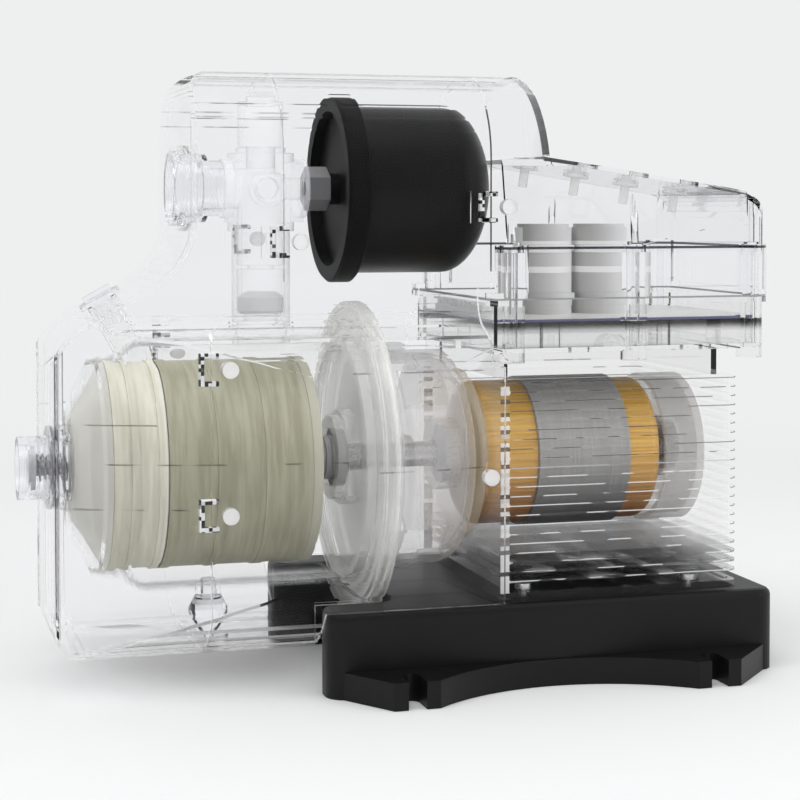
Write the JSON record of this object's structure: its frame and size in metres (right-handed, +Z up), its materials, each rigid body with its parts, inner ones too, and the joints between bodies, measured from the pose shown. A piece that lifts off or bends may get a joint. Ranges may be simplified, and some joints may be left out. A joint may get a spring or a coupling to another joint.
{
  "type": "self-priming booster pump",
  "caption": "Compact see-through self-priming water booster pump: clear casing, stacked pump stages, finned motor, pressure tank, control box and a slotted mounting base.",
  "frame": {"origin": "middle of the four foot slots, on the plane the base stands on", "axes": "+Z up, +X along the shaft from the inlet towards the motor, +Y away from the side in view"},
  "size_m": [0.403, 0.216, 0.323],
  "materials": {
    "base_black": "satin moulded",
    "block_frost": "frosted clear",
    "board_green": "solder mask",
    "bowl_cream": "translucent matt",
    "box_clear": "clear moulded",
    "button_grey": "moulded",
    "cap_grey": "sleeved",
    "copper_varnish": "varnished windings",
    "cover_clear": "clear moulded",
    "diffuser_olive": "moulded",
    "fitting_clear": "clear moulded",
    "flange_frost": "frosted clear",
    "gasket_grey": "matt",
    "gland_grey": "moulded",
    "housing_clear": "clear moulded",
    "impeller_buff": "moulded",
    "nut_grey": "satin",
    "pin_white": "moulded",
    "seal_ceramic": "lapped",
    "seal_rubber": "matt",
    "sleeve_olive": "translucent matt",
    "stack_steel": "laminated",
    "steel": "bright",
    "tank_black": "satin coat",
    "wet_clear": "clear moulded"
  },
  "bodies": {
    "chassis": {"base": "base_black", "base_screws": "steel", "front_cover": "cover_clear", "rear_cover": "cover_clear", "tower_cap": "cover_clear", "cover_screws": "pin_white", "pump_casing": "wet_clear", "suction_cone": "bowl_cream", "first_bowl": "bowl_cream", "stage_sleeve": "sleeve_olive", "inlet_adapter": "fitting_clear", "inlet_gasket": "seal_rubber", "check_spring": "steel", "check_cage": "pin_white", "diffuser_1": "diffuser_olive", "diffuser_2": "diffuser_olive", "diffuser_3": "diffuser_olive", "seal_stationary": "seal_ceramic", "flange_plate": "flange_frost", "motor_bracket": "flange_frost", "riser_pipe": "block_frost", "valve_block": "block_frost", "outlet_fitting": "fitting_clear", "pressure_sensor": "block_frost", "flow_cap": "block_frost", "tank_shell": "tank_black", "tank_collar": "tank_black", "tank_diaphragm": "seal_rubber", "tank_nut": "nut_grey", "motor_housing": "housing_clear", "stator_stack": "stack_steel", "winding_front": "copper_varnish", "winding_rear": "copper_varnish", "bearing_front": "steel", "bearing_rear": "steel", "end_shield": "flange_frost", "control_tray": "box_clear", "control_cover": "box_clear", "box_gasket": "gasket_grey", "box_screws": "steel", "circuit_board": "board_green", "capacitors": "cap_grey", "connector_strip": "pin_white", "cable_gland": "gland_grey"},
    "rotor": {"shaft": "steel", "shaft_nut": "steel", "impeller_1": "impeller_buff", "impeller_2": "impeller_buff", "impeller_3": "impeller_buff", "seal_rotating": "seal_rubber", "rotor_core": "stack_steel"},
    "check_valve": {"check_poppet": "pin_white"},
    "flow_valve": {"flow_piston": "pin_white"},
    "priming_plug": {"priming_plug": "fitting_clear"},
    "drain_plug": {"drain_plug": "fitting_clear"},
    "button_1": {"button_1": "button_grey"},
    "button_2": {"button_2": "button_grey"},
    "button_3": {"button_3": "button_grey"},
    "button_4": {"button_4": "button_grey"}
  },
  "joints": [
    {"name": "rotor_spin", "type": "hinge", "parent": "chassis", "child": "rotor", "pos_m": [0, 0, 0.114], "axis": [1, 0, 0], "continuous": true},
    {"name": "check_open", "type": "slide", "parent": "chassis", "child": "check_valve", "axis": [1, 0, 0], "range_m": [0, 0.005], "stiffness_N_per_m": 60, "springref_m": -0.004, "deforming": ["check_spring"]},
    {"name": "flow_lift", "type": "slide", "parent": "chassis", "child": "flow_valve", "axis": [0, 0, 1], "range_m": [0, 0.012]},
    {"name": "priming_plug_lift", "type": "slide", "parent": "chassis", "child": "priming_plug", "axis": [-0.4848, 0, 0.8746], "range_m": [0, 0.03]},
    {"name": "drain_plug_drop", "type": "slide", "parent": "chassis", "child": "drain_plug", "axis": [0, 0, -1], "range_m": [0, 0.014]},
    {"name": "button_1_press", "type": "slide", "parent": "chassis", "child": "button_1", "axis": [-0.1527, 0, -0.9883], "range_m": [0, 0.001], "stiffness_N_per_m": 300, "springref_m": -0.001},
    {"name": "button_2_press", "type": "slide", "parent": "chassis", "child": "button_2", "axis": [-0.1527, 0, -0.9883], "range_m": [0, 0.001], "stiffness_N_per_m": 300, "springref_m": -0.001},
    {"name": "button_3_press", "type": "slide", "parent": "chassis", "child": "button_3", "axis": [-0.1527, 0, -0.9883], "range_m": [0, 0.001], "stiffness_N_per_m": 300, "springref_m": -0.001},
    {"name": "button_4_press", "type": "slide", "parent": "chassis", "child": "button_4", "axis": [-0.1527, 0, -0.9883], "range_m": [0, 0.001], "stiffness_N_per_m": 300, "springref_m": -0.001}
  ]
}
